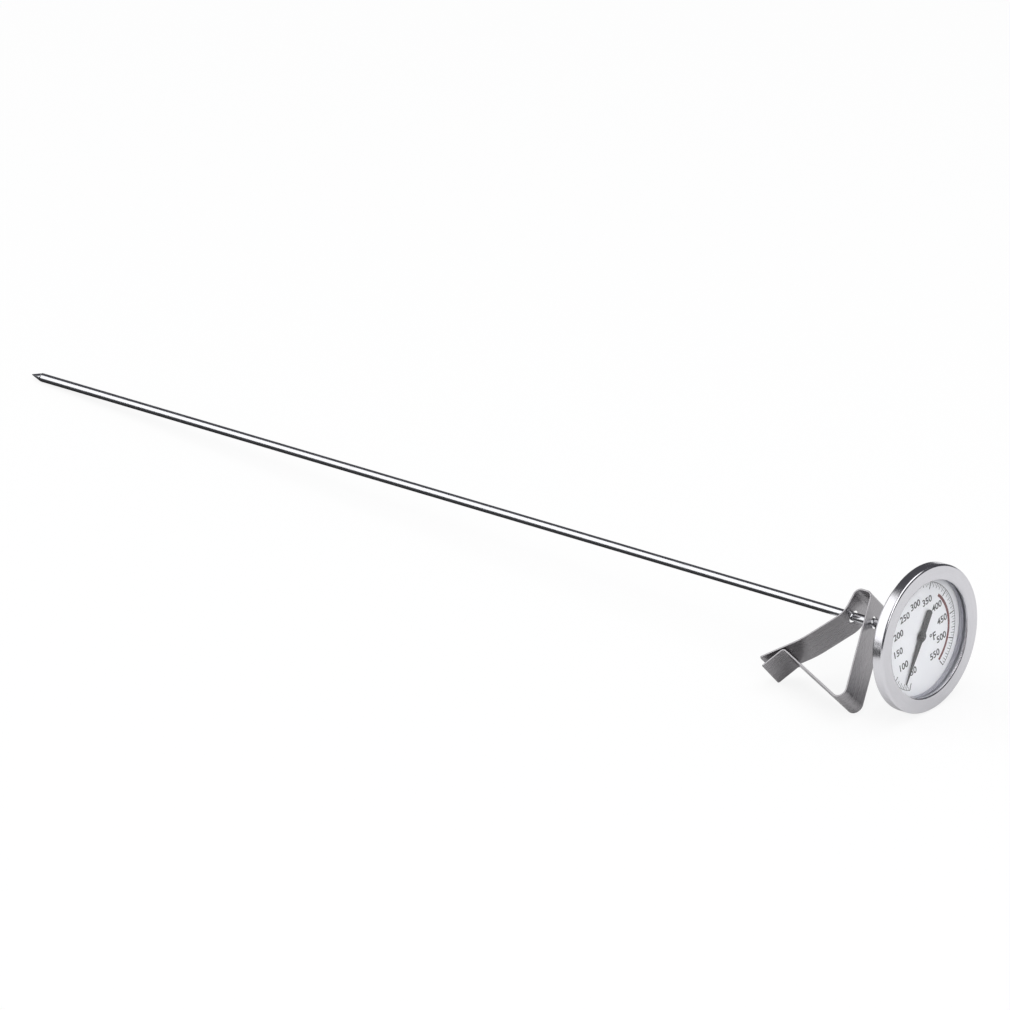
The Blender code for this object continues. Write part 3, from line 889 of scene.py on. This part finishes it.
@dataclass
class Scale:
    """The printed temperature scale. Sizes are in millimetres and angles in degrees, clockwise."""

    finishes: Finishes
    plate: float = 4.9
    ink: float = 0.035
    lift: float = 0.005
    lowest: int = 50
    highest: int = 550
    start: float = 201.0
    sweep: float = 302.0
    outer: float = 18.7
    circle_width: float = 0.16
    numeral_radius: float = 12.1
    numeral_height: float = 2.5
    unit_radius: float = 7.4
    unit_angle: float = 114.0
    unit_height: float = 2.9
    lean: float = -8.0
    zone: Point2 = (43.0, 143.0)
    zone_radii: Point2 = (14.9, 15.9)

    def build(self) -> None:
        """Prints the strokes, the numerals, the unit and the red zone."""
        self.ticks()
        self.numerals()
        self.zone_band()

    def angle_of(self, degrees: float) -> float:
        """Where a temperature lies round the dial."""
        return self.start + self.sweep * (degrees - self.lowest) / (self.highest - self.lowest)

    def front(self) -> float:
        """Depth of the ink's front face, in metres."""
        return (self.plate - self.lift - self.ink) * MM

    def print_piece(self, name: str, bm: bmesh.types.BMesh, material: bpy.types.Material) -> None:
        """Hands over a printed piece, which rides on the head."""
        piece = as_object(name, bm, AXES.matrix())
        hand_over(piece, "head", material, "dial_print")

    def bar(self, bm: bmesh.types.BMesh, angle: float, near: float, far: float, width: float) -> None:
        """Adds one stroke of ink.

        Args:
            bm: the mesh to add to.
            angle: its place round the dial, in degrees.
            near: its inner radius.
            far: its outer radius.
            width: how wide it is.
        """
        out = Vector(polar(1.0, angle))
        side = Vector((out.y, -out.x)) * width * MM / 2
        ends = [out * near * MM - side, out * far * MM - side, out * far * MM + side, out * near * MM + side]
        self.slab(bm, [ends])

    def slab(self, bm: bmesh.types.BMesh, faces: Iterable[Sequence[Vector]]) -> None:
        """Adds closed slabs of ink, one for each flat polygon."""
        for corners in faces:
            front = [bm.verts.new((-self.front(), c.x, c.y)) for c in corners]
            back = [bm.verts.new((-self.front() - self.ink * MM, c.x, c.y)) for c in corners]
            bm.faces.new(front)
            bm.faces.new(back[::-1])
            for i in range(len(corners)):
                j = (i + 1) % len(corners)
                bm.faces.new((front[i], front[j], back[j], back[i]))

    def arc_band(self, bm: bmesh.types.BMesh, radii: Point2, angles: Point2) -> None:
        """Adds a curved band of ink between two radii and two angles."""
        steps = max(2, int(abs(angles[1] - angles[0]) / 2.0))
        rows = []
        for step in range(steps + 1):
            angle = angles[0] + (angles[1] - angles[0]) * step / steps
            row = []
            for radius in radii:
                across, up = polar(radius * MM, angle)
                depths = (self.front(), self.front() + self.ink * MM)
                row.append([bm.verts.new((-depth, across, up)) for depth in depths])
            rows.append(row)
        for row, after in zip(rows, rows[1:]):
            (a, b), (c, d) = row, after
            for quad in ((a[0], b[0], d[0], c[0]), (a[1], c[1], d[1], b[1])):
                bm.faces.new(quad)
            bm.faces.new((a[0], c[0], c[1], a[1]))
            bm.faces.new((b[0], b[1], d[1], d[0]))
        for row in (rows[0], rows[-1]):
            bm.faces.new((row[0][0], row[0][1], row[1][1], row[1][0]))

    def ticks(self) -> None:
        """Long, middle and short strokes, and a thin circle that joins their outer ends."""
        bm = bmesh.new()
        for degrees in range(self.lowest, self.highest + 1, Stroke.SHORT.every):
            stroke = next(kind for kind in Stroke if degrees % kind.every == 0)
            self.bar(bm, self.angle_of(degrees), self.outer - stroke.length, self.outer, stroke.width)
        self.arc_band(bm, (self.outer, self.outer + self.circle_width), (self.start, self.start + self.sweep))
        bmesh.ops.recalc_face_normals(bm, faces=bm.faces)
        self.print_piece("scale_strokes", bm, self.finishes.ink)

    def numerals(self) -> None:
        """The numbers at the long strokes and the unit beside the hub."""
        bm = bmesh.new()
        for degrees in range(self.lowest, self.highest + 1, Stroke.LONG.every):
            place = polar(self.numeral_radius * MM, self.angle_of(degrees))
            self.letters(bm, str(degrees), place, self.numeral_height * MM)
        self.letters(bm, "°F", polar(self.unit_radius * MM, self.unit_angle), self.unit_height * MM)
        bmesh.ops.recalc_face_normals(bm, faces=bm.faces)
        self.print_piece("scale_numerals", bm, self.finishes.ink)

    def letters(self, bm: bmesh.types.BMesh, words: str, place: Point2, height: float) -> None:
        """Adds upright figures, centred on a place.

        Args:
            bm: the mesh to add to.
            words: the figures.
            place: their centre on the dial, in metres.
            height: their height, in metres.
        """
        curve = bpy.data.curves.new("figures", "FONT")
        curve.body = words
        curve.align_x = "CENTER"
        curve.align_y = "CENTER"
        curve.size = height * 1.38
        curve.resolution_u = 3
        curve.offset = height * 0.028
        curve.extrude = self.ink * MM / 2
        holder = bpy.data.objects.new("figures", curve)
        bpy.context.scene.collection.objects.link(holder)
        bpy.context.view_layer.update()
        mesh = bpy.data.meshes.new_from_object(holder.evaluated_get(bpy.context.evaluated_depsgraph_get()))
        middle = -self.front() - self.ink * MM / 2
        to_dial = Matrix(((0, 0, 1, middle), (1, 0, 0, place[0]), (0, 1, 0, place[1]), (0, 0, 0, 1)))
        turn = Matrix.Rotation(math.radians(-self.lean), 4, "Z")
        mesh.transform(to_dial @ turn)
        bm.from_mesh(mesh)
        bpy.data.objects.remove(holder, do_unlink=True)
        bpy.data.meshes.remove(mesh)
        bpy.data.curves.remove(curve)

    def zone_band(self) -> None:
        """The dark red band on the hot side of the scale."""
        bm = bmesh.new()
        self.arc_band(bm, self.zone_radii, self.zone)
        bmesh.ops.recalc_face_normals(bm, faces=bm.faces)
        self.print_piece("hot_zone", bm, self.finishes.red_ink)


# ----------------------------------------
# Hand
# ----------------------------------------


@dataclass
class Hand:
    """The pointer and its boss. Sizes are in millimetres."""

    finishes: Finishes
    angle: float = 213.0
    front: float = 3.98
    thickness: float = 0.25
    length: float = 17.2
    tail: float = 9.5
    tip_width: float = 0.45
    root_width: float = 2.4
    tail_width: float = 3.0
    hub_radius: float = 2.2
    hole_radius: float = 1.2
    boss_stand: float = 0.7
    boss_head: float = 0.4
    boss_length: float = 1.4
    boss_radius: float = 1.5
    boss_bore: float = 0.45
    neck_radius: float = 0.9
    broken_edge: float = 0.04

    def build(self) -> None:
        """Builds the pointer and the boss."""
        self.pointer()
        self.boss()

    def outline(self) -> list[Point2]:
        """The hand's outline, as (across, towards the tip), in metres: blade, hub and tail."""
        half_tip = self.tip_width / 2
        shoulder = self.length - half_tip
        turns = (1.2, 0.6, 0.0, -0.6, -1.2)
        points = [(half_tip * math.sin(a), shoulder + half_tip * math.cos(a)) for a in turns]
        blade = math.asin(self.root_width / 2 / self.hub_radius)
        tail = math.asin(self.tail_width / 2 / self.hub_radius)
        steps = 20
        sweep = [blade + (math.pi - tail - blade) * step / steps for step in range(steps + 1)]
        side = [(self.hub_radius * math.sin(a), self.hub_radius * math.cos(a)) for a in sweep]
        half_tail = self.tail_width / 2
        points += [(-across, along) for across, along in side]
        crown = half_tail * 0.6
        turns = [math.pi * (1 + step / 8) for step in range(9)]
        points += [(half_tail * math.cos(a), -self.tail + crown + crown * math.sin(a)) for a in turns]
        points += side[::-1]
        return [(across * MM, along * MM) for across, along in points]

    def pointer(self) -> None:
        """The flat lacquered hand, with its edges broken."""
        radius = self.hole_radius * MM
        turns = [math.tau * step / 48 for step in range(48)]
        hole = [(radius * math.cos(a), radius * math.sin(a)) for a in turns]
        bm = flat_piece([self.outline(), hole], self.front * MM, self.thickness * MM)
        turn = Matrix.Rotation(math.radians(-self.angle), 4, "X")
        piece = as_object("pointer_hand", bm, AXES.matrix() @ turn)
        edges = piece.modifiers.new("broken_edges", "BEVEL")
        edges.width = self.broken_edge * MM
        edges.segments = 2
        edges.limit_method = "ANGLE"
        piece.modifiers.move(1, 0)
        hand_over(piece, "hand", self.finishes.lacquer, "pointer_black", ["pointer"])

    def boss(self) -> None:
        """The turned and lacquered boss, rounded at its edge and open for the shaft."""
        front = self.front - self.boss_stand
        under = front + self.boss_head
        back = front + self.boss_length
        corners = [
            Corner(front, self.boss_bore, 0.08),
            Corner(front, self.boss_radius, 0.2),
            Corner(under, self.boss_radius, 0.06),
            Corner(under, self.neck_radius, 0.04),
            Corner(back, self.neck_radius, 0.08),
            Corner(back, self.boss_bore, 0.04),
        ]
        piece = as_object("pointer_hub", lathe(filleted(corners), 64), AXES.matrix())
        hand_over(piece, "hand", self.finishes.lacquer, "pointer_black", ["pointer_boss"])


# ----------------------------------------
# Stem
# ----------------------------------------


@dataclass
class Stem:
    """The stainless tube and its welded point. Sizes are in millimetres."""

    finishes: Finishes
    sides: int = 64
    length: float = 394.5
    top: float = 6.2
    radius: float = 1.5
    bore: float = 1.2
    cone: float = 4.4
    point: float = 0.15
    weld_gap: float = 0.3
    spigot_length: float = 4.5
    spigot_radius: float = 0.95
    nut_edge: float = 0.12
    rings: int = 64

    def build(self) -> None:
        """Builds the tube and the plug, and breaks the nut's edges."""
        self.tube()
        self.plug()
        self.nut()

    def tube(self) -> None:
        """The ground tube, with a faint weld bead at its lower end."""
        foot = self.length - self.cone - self.weld_gap
        outer = [(self.top, self.bore), (self.top, self.radius - 0.08), (self.top + 0.08, self.radius)]
        first = self.top + 2.0
        last = foot - 3.0
        outer += [(first + (last - first) * step / self.rings, self.radius) for step in range(self.rings + 1)]
        outer += [(foot - 0.9, self.radius), (foot - 0.5, self.radius + 0.004), (foot - 0.06, self.radius)]
        outer += [(foot, self.radius - 0.06), (foot, self.bore)]
        outline = [(depth * MM, radius * MM) for depth, radius in outer]
        piece = as_object("stem", lathe(outline, self.sides), AXES.matrix())
        hand_over(piece, "probe", self.finishes.stem, "stem_steel", ["stem_tube"])

    def plug(self) -> None:
        """The ground point, with the spigot that goes into the tube."""
        foot = self.length - self.cone
        corners = [
            Corner(foot - self.spigot_length, 0.0),
            Corner(foot - self.spigot_length, self.spigot_radius, 0.1),
            Corner(foot, self.spigot_radius),
            Corner(foot, self.radius, 0.08),
            Corner(self.length, self.point, 0.1),
            Corner(self.length, 0.0),
        ]
        piece = as_object("stem_point", lathe(filleted(corners), self.sides), AXES.matrix())
        hand_over(piece, "probe", self.finishes.stem, "stem_steel", ["tip_plug"])

    def nut(self) -> None:
        """Breaks the edges of the CAD's hexagon nut."""
        node = frame["nodes"]["calibration_nut"]
        edges = node.modifiers.new("broken_edges", "BEVEL")
        edges.width = self.nut_edge * MM
        edges.segments = 3
        edges.limit_method = "ANGLE"
        edges.harden_normals = True


# ----------------------------------------
# Vessel clip
# ----------------------------------------


@dataclass
class VesselClip:
    """One bent strip of spring steel. Sizes are in millimetres."""

    finishes: Finishes
    place: float = 25.3
    width: float = 12.4
    thickness: float = 0.6
    corner: float = 0.7
    hole: float = 2.2
    edge: float = 0.11
    bends: tuple = (
        (-30.2, 25.2, 0.0),
        (-18.1, 14.8, 32.0),
        (-7.4, 1.5, 8.0),
        (-7.4, -8.0, 2.4),
        (-0.9, -8.0, 2.4),
        (9.5, 32.4, 2.8),
        (-23.0, 20.0, 1.2),
        (-27.7, 28.0, 0.0),
    )

    def line(self) -> list[Vector]:
        """The strip's centre line, with a fine arc at each bend and short straight steps."""
        bends = [(Vector((along, away)) * MM, radius * MM) for along, away, radius in self.bends]
        points = [bends[0][0]]
        for (before, _), (corner, radius), (after, _) in zip(bends, bends[1:], bends[2:]):
            back = (before - corner).normalized()
            on = (after - corner).normalized()
            half = back.angle(on) / 2
            centre = corner + (back + on).normalized() * radius / math.sin(half)
            start = corner + back * radius / math.tan(half) - centre
            sweep = (math.pi - 2 * half) * (1 if back.cross(on) < 0 else -1)
            steps = max(4, math.ceil(abs(sweep) / math.radians(4)))
            for step in range(steps + 1):
                points.append(centre + Matrix.Rotation(sweep * step / steps, 2) @ start)
        points.append(bends[-1][0])
        return points

    def stations(self) -> list[tuple[Vector, Vector, float]]:
        """Points along the strip, each with the direction there and half the strip's width."""
        line = self.line()
        full = self.width / 2 * MM
        corner = self.corner * MM
        rows = []
        ends = ((line[0], line[1]), (line[-1], line[-2]))
        rounded = []
        for end, neighbour in ends:
            heading = (neighbour - end).normalized()
            rows_here = []
            for step in range(10):
                angle = math.pi / 2 * step / 9
                reach = corner * (1 - math.cos(angle))
                rows_here.append((end + heading * reach, full - corner + corner * math.sin(angle)))
            rounded.append(rows_here)
        plain = rounded[0] + [(point, full) for point in line[1:-1]] + rounded[1][::-1]
        for index, (point, half) in enumerate(plain):
            before = plain[max(0, index - 1)][0]
            after = plain[min(len(plain) - 1, index + 1)][0]
            rows.append((point, (after - before).normalized(), half))
        return rows

    def crossings(self) -> list[tuple[Vector, Vector]]:
        """Where the strip crosses the stem axis, with its direction there."""
        line = self.line()
        found = []
        for start, end in zip(line, line[1:]):
            if start.y * end.y < 0:
                share = start.y / (start.y - end.y)
                found.append((start.lerp(end, share), (end - start).normalized()))
        return found

    def section(self, half: float) -> list[Point2]:
        """The strip's cross-section with broken edges, as (across the width, through the sheet)."""
        edge = self.edge * MM
        deep = self.thickness / 2 * MM
        points = []
        for turn, across, through in ((0, 1, 1), (1, -1, 1), (2, -1, -1), (3, 1, -1)):
            for step in range(4):
                angle = math.pi / 2 * (turn + step / 3)
                wide = across * (half - edge) + edge * math.cos(angle)
                points.append((wide, through * (deep - edge) + edge * math.sin(angle)))
        return points

    def swept(self) -> bmesh.types.BMesh:
        """The bent strip without its holes."""
        bm = bmesh.new()
        rings = []
        for point, heading, half in self.stations():
            normal = Vector((-heading.y, heading.x))
            ring = []
            for across, through in self.section(half):
                spot = point + normal * through
                ring.append(bm.verts.new((spot.x, across, -spot.y)))
            rings.append(ring)
        for ring, after in zip(rings, rings[1:]):
            for index in range(len(ring)):
                nxt = (index + 1) % len(ring)
                bm.faces.new((ring[index], ring[nxt], after[nxt], after[index]))
        bm.faces.new(rings[0][::-1])
        bm.faces.new(rings[-1])
        bmesh.ops.recalc_face_normals(bm, faces=bm.faces)
        return bm

    def drill(self, place: Vector, heading: Vector) -> bpy.types.Object:
        """A hidden drill for one hole."""
        bm = bmesh.new()
        across = Vector((heading.y, 0.0, heading.x)).to_track_quat("Z", "Y").to_matrix().to_4x4()
        bmesh.ops.create_cone(
            bm,
            cap_ends=True,
            segments=72,
            radius1=self.hole * MM,
            radius2=self.hole * MM,
            depth=4 * MM,
            matrix=Matrix.Translation((place.x, 0.0, -place.y)) @ across,
        )
        drill = as_object("drill", bm, Matrix.Identity(4))
        drill.hide_render = True
        return drill

    def build(self) -> None:
        """Bends, drills and dresses the strip."""
        piece = as_object("clip", self.swept(), Matrix.Identity(4))
        piece.modifiers.clear()
        drills = [self.drill(*crossing) for crossing in self.crossings()]
        for drill in drills:
            cut = piece.modifiers.new("hole", "BOOLEAN")
            cut.operation = "DIFFERENCE"
            cut.solver = "EXACT"
            cut.object = drill
        bpy.context.view_layer.update()
        drilled = bpy.data.meshes.new_from_object(piece.evaluated_get(bpy.context.evaluated_depsgraph_get()))
        piece.modifiers.clear()
        piece.data = drilled
        drilled.name = "clip"
        for drill in drills:
            bpy.data.objects.remove(drill, do_unlink=True)
        drilled.shade_smooth()
        drilled.set_sharp_from_angle(angle=math.radians(35))
        weighted = piece.modifiers.new("even_normals", "WEIGHTED_NORMAL")
        weighted.keep_sharp = True
        piece.matrix_world = AXES.clip_matrix(self.place * MM)
        # the clip's finish carries painted shade: its base colour is set darker than the stem's steel
        hand_over(piece, "clip", self.finishes.spring, "spring_steel", ["vessel_clip"])


# ----------------------------------------
# Pieces that keep their CAD shape
# ----------------------------------------


@dataclass
class Carried:
    """Dresses the CAD nodes that stay as they are."""

    finishes: Finishes

    def build(self) -> None:
        """Gives each carried node its finish."""
        dress = {
            self.finishes.rubber: ("hub_seal",),
            self.finishes.brass: ("hub_ferrule", "coil_anchor", "coil_collar", "top_bearing"),
            self.finishes.nut: ("calibration_nut",),
            self.finishes.spring: ("friction_washer",),
            self.finishes.shaft: ("pointer_shaft",),
            self.finishes.bimetal: ("bimetal_coil",),
        }
        for material, names in dress.items():
            for name in names:
                self.dress(name, material)
        for name in frame["nodes"]:
            if name.startswith("shaft_guide"):
                self.dress(name, self.finishes.brass)

    @staticmethod
    def dress(name: str, material: bpy.types.Material) -> None:
        """Puts a material on every slot of a CAD node."""
        node = frame["nodes"][name]
        if not node.material_slots:
            node.data.materials.append(material)
        for slot in node.material_slots:
            slot.material = material
        LOG.info("%s keeps its CAD shape with %s", name, material.name)


# ----------------------------------------
# Studio
# ----------------------------------------


@dataclass
class Studio:
    """Camera, floor, lamps and surroundings. Lengths are in metres and angles in degrees."""

    azimuth: float = 39.2265
    elevation: float = 26.7352
    distance: float = 10.0
    lens: float = 1050.4
    aim: tuple[float, float, float] = (0.0, 0.0, 0.02)
    slide: Point2 = (0.0096813, -0.0051)
    floor_radius: float = 0.9
    paper: float = 0.72
    paper_lift: float = 0.86
    card: tuple[float, float, float, float] = (-0.24, 0.14, -0.3, 0.02)

    def build(self) -> None:
        """Sets up everything round the instrument."""
        self.camera()
        self.floor()
        self.dark_card()
        self.lamps()
        self.surroundings()

    def directions(self) -> tuple[Vector, Vector, Vector]:
        """The directions to the camera, to its right and upwards in its view."""
        a, e = math.radians(self.azimuth), math.radians(self.elevation)
        back = Vector((math.sin(a) * math.cos(e), -math.cos(a) * math.cos(e), math.sin(e)))
        right = Vector((math.cos(a), math.sin(a), 0.0))
        return back, right, back.cross(right)

    def camera(self) -> None:
        """A long lens, level, aimed near the middle of the instrument."""
        back, right, up = self.directions()
        target = Vector(self.aim) + right * self.slide[0] + up * self.slide[1]
        data = bpy.data.cameras.new("camera")
        data.lens = self.lens
        data.sensor_width = 36.0
        data.clip_start = 0.5
        data.clip_end = 60.0
        camera = bpy.data.objects.new("camera", data)
        bpy.context.scene.collection.objects.link(camera)
        turn = Matrix((right, up, back)).transposed().to_4x4()
        camera.matrix_world = Matrix.Translation(target + back * self.distance) @ turn
        bpy.context.scene.camera = camera

    def floor(self) -> None:
        """A plain pale disc under everything."""
        bm = bmesh.new()
        bmesh.ops.create_circle(bm, cap_ends=True, segments=96, radius=self.floor_radius)
        floor = as_object("floor", bm, Matrix.Identity(4))
        floor.location.z = CAD_BOX[0].z - 0.00002
        material = bpy.data.materials.new("floor_paper")
        material.use_nodes = True
        t = Tree(material.node_tree)
        shader = material.node_tree.nodes["Principled BSDF"]
        shader.inputs["Base Color"].default_value = (*[self.paper] * 3, 1.0)
        shader.inputs["Roughness"].default_value = 0.95
        shader.inputs["Specular IOR Level"].default_value = 0.1
        lit = t.add("ShaderNodeEmission", {"Strength": 1.0})
        seen = t.add("ShaderNodeLightPath").outputs["Is Camera Ray"]
        both = t.add("ShaderNodeMixShader", {0: t.maths("MULTIPLY", seen, self.paper_lift)})
        t.feed(both, 1, shader.outputs[0])
        t.feed(both, 2, lit.outputs[0])
        t.feed(material.node_tree.nodes["Material Output"], "Surface", both.outputs[0])
        floor.data.materials.append(material)

    def dark_card(self) -> None:
        """A black card beside the stem, seen only in reflections, which draws the stem's lower edge."""
        left, right, front, back = self.card
        bm = bmesh.new()
        corners = ((left, front), (right, front), (right, back), (left, back))
        bm.faces.new([bm.verts.new((x, y, 0.0)) for x, y in corners])
        card = as_object("dark_card", bm, Matrix.Translation((0.0, 0.0, CAD_BOX[0].z - 0.00001)))
        material = bpy.data.materials.new("black_card")
        material.use_nodes = True
        shader = material.node_tree.nodes["Principled BSDF"]
        shader.inputs["Base Color"].default_value = (0.02, 0.02, 0.022, 1.0)
        shader.inputs["Roughness"].default_value = 0.9
        card.data.materials.append(material)
        card.visible_camera = False
        card.visible_diffuse = False
        card.visible_shadow = False
        card.visible_transmission = False

    def lamp(self, name: str, place: tuple[float, float, float], size: Point2, watts: float) -> None:
        """One soft box that faces the instrument.

        Args:
            name: the lamp's name.
            place: where it stands.
            size: its width and height.
            watts: its power.
        """
        data = bpy.data.lights.new(name, "AREA")
        data.shape = "RECTANGLE"
        data.size, data.size_y = size
        data.energy = watts
        lamp = bpy.data.objects.new(name, data)
        bpy.context.scene.collection.objects.link(lamp)
        lamp.location = place
        lamp.rotation_mode = "QUATERNION"
        lamp.rotation_quaternion = (-Vector(place)).to_track_quat("-Z", "Y")

    def lamps(self) -> None:
        """A tall box in front on the left, one overhead towards the head and one on the right."""
        self.lamp("front", (-0.75, -0.85, 0.72), (1.5, 1.5), 11.0)
        self.lamp("overhead", (0.4, 0.1, 1.3), (1.5, 1.1), 10.0)
        self.lamp("right", (1.4, -0.5, 0.9), (0.6, 0.9), 5.5)

    def surroundings(self) -> None:
        """A grey room, which the camera sees as white."""
        world = bpy.data.worlds.new("room")
        world.use_nodes = True
        bpy.context.scene.world = world
        t = Tree(world.node_tree)
        sky = world.node_tree.nodes["Background"]
        path = t.add("ShaderNodeLightPath")
        passed = t.maths("SUBTRACT", 1.0, path.outputs["Is Transmission Ray"])
        mirrored = t.maths("MULTIPLY", path.outputs["Is Glossy Ray"], passed)
        room = t.blend(mirrored, (0.66, 0.66, 0.67, 1.0), (0.09, 0.09, 0.1, 1.0))
        t.feed(sky, "Color", t.blend(path.outputs["Is Camera Ray"], room, (1.0, 1.0, 1.0, 1.0)))
        sky.inputs["Strength"].default_value = 1.0
        bpy.context.scene.view_settings.view_transform = "Standard"


def main() -> None:
    """Builds the sub-assemblies in order."""
    logging.basicConfig(level=logging.INFO)
    finishes = Finishes(Paintbox())
    Studio().build()
    for assembly in (Head, Scale, Hand, Stem, VesselClip, Carried):
        assembly(finishes).build()


if __name__ == "__main__":
    main()
